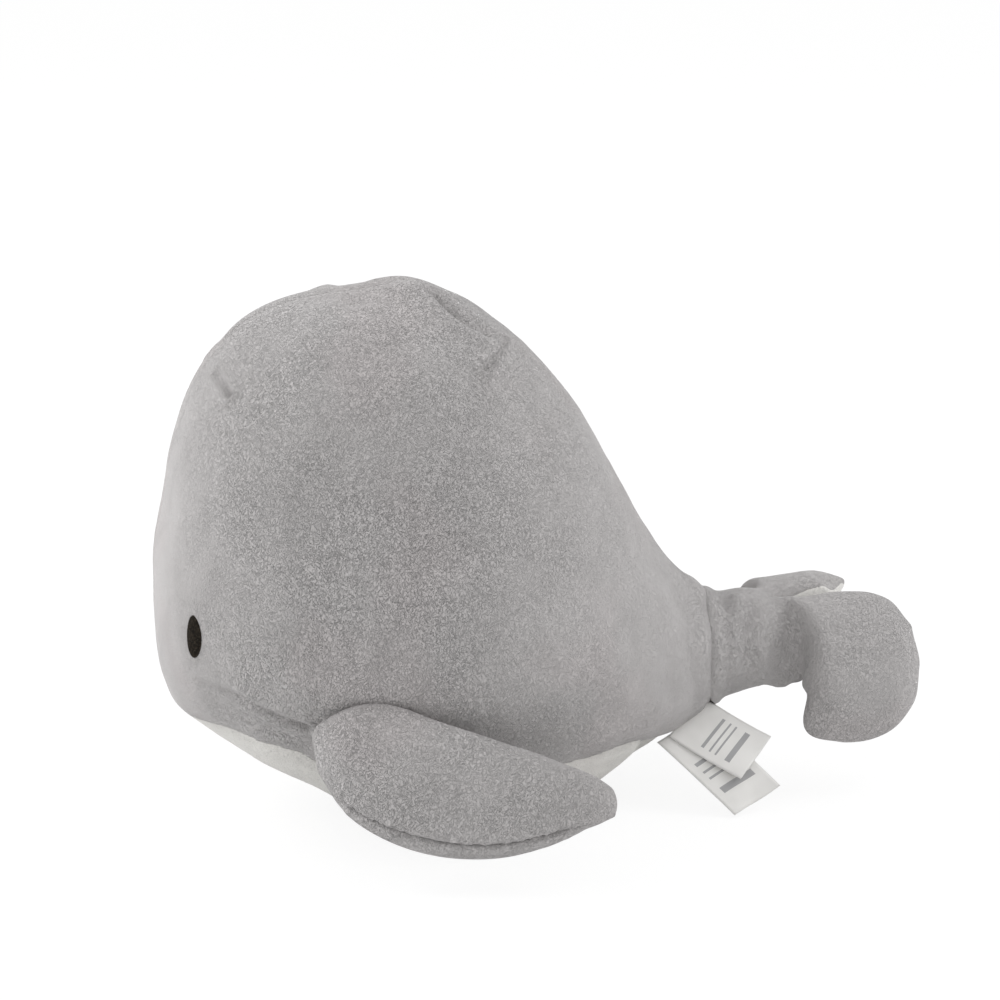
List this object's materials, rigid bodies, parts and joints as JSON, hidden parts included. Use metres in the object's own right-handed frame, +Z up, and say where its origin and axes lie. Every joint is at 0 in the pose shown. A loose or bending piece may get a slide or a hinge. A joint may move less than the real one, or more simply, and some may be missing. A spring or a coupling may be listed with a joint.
{
  "type": "plush whale",
  "caption": "Stuffed toy whale lying on its belly, with a tall rounded back, side flippers, a fluked tail, embroidered eyes and blank care labels.",
  "frame": {"origin": "centre of the bounding box's bottom face, on the surface that the whale lies on", "axes": "+X runs from the nose to the tail, +Z up, and the whale's left side, with the care labels, is towards -Y"},
  "size_m": [0.3325, 0.2536, 0.2261],
  "materials": {
    "gray_plush": "short crinkled velour pile, warm light gray",
    "white_plush": "short velour pile, off-white",
    "polyester_filling": "loose polyester fibre",
    "eye_thread": "dark satin-stitched thread",
    "label_satin": "thin white satin ribbon"
  },
  "bodies": {
    "torso": {"body_panel_left": "gray_plush", "body_panel_right": "gray_plush", "belly_panel": "white_plush", "body_stuffing": "polyester_filling", "eye_left": "eye_thread", "eye_right": "eye_thread"},
    "tail": {"tail_upper_panel": "gray_plush", "tail_lower_panel": "white_plush", "tail_stuffing": "polyester_filling"},
    "flipper_left": {"flipper_left_upper_panel": "gray_plush", "flipper_left_lower_panel": "gray_plush", "flipper_left_stuffing": "polyester_filling"},
    "flipper_right": {"flipper_right_upper_panel": "gray_plush", "flipper_right_lower_panel": "gray_plush", "flipper_right_stuffing": "polyester_filling"},
    "labels": {"care_label_long": "label_satin", "care_label_short": "label_satin"}
  },
  "joints": [
    {"name": "tail_bend", "type": "hinge", "parent": "torso", "child": "tail", "pos_m": [0.07161, 0, 0.061], "axis": [0, 1, 0], "range_deg": [-15, 15], "stiffness_Nm_per_rad": 0.05},
    {"name": "flipper_left_lift", "type": "hinge", "parent": "torso", "child": "flipper_left", "pos_m": [-0.08289, -0.08979, 0.071], "axis": [-0.9889, 0.139, -0.0523], "range_deg": [0, 70], "stiffness_Nm_per_rad": 0.05},
    {"name": "flipper_right_lift", "type": "hinge", "parent": "torso", "child": "flipper_right", "pos_m": [-0.08289, 0.08976, 0.071], "axis": [0.9889, 0.139, 0.0523], "range_deg": [0, 70], "stiffness_Nm_per_rad": 0.05},
    {"name": "label_flap", "type": "hinge", "parent": "torso", "child": "labels", "pos_m": [0.06285, -0.02063, 0.03493], "axis": [-0.8604, -0.3502, -0.3702], "range_deg": [0, 40], "stiffness_Nm_per_rad": 0.0005}
  ]
}
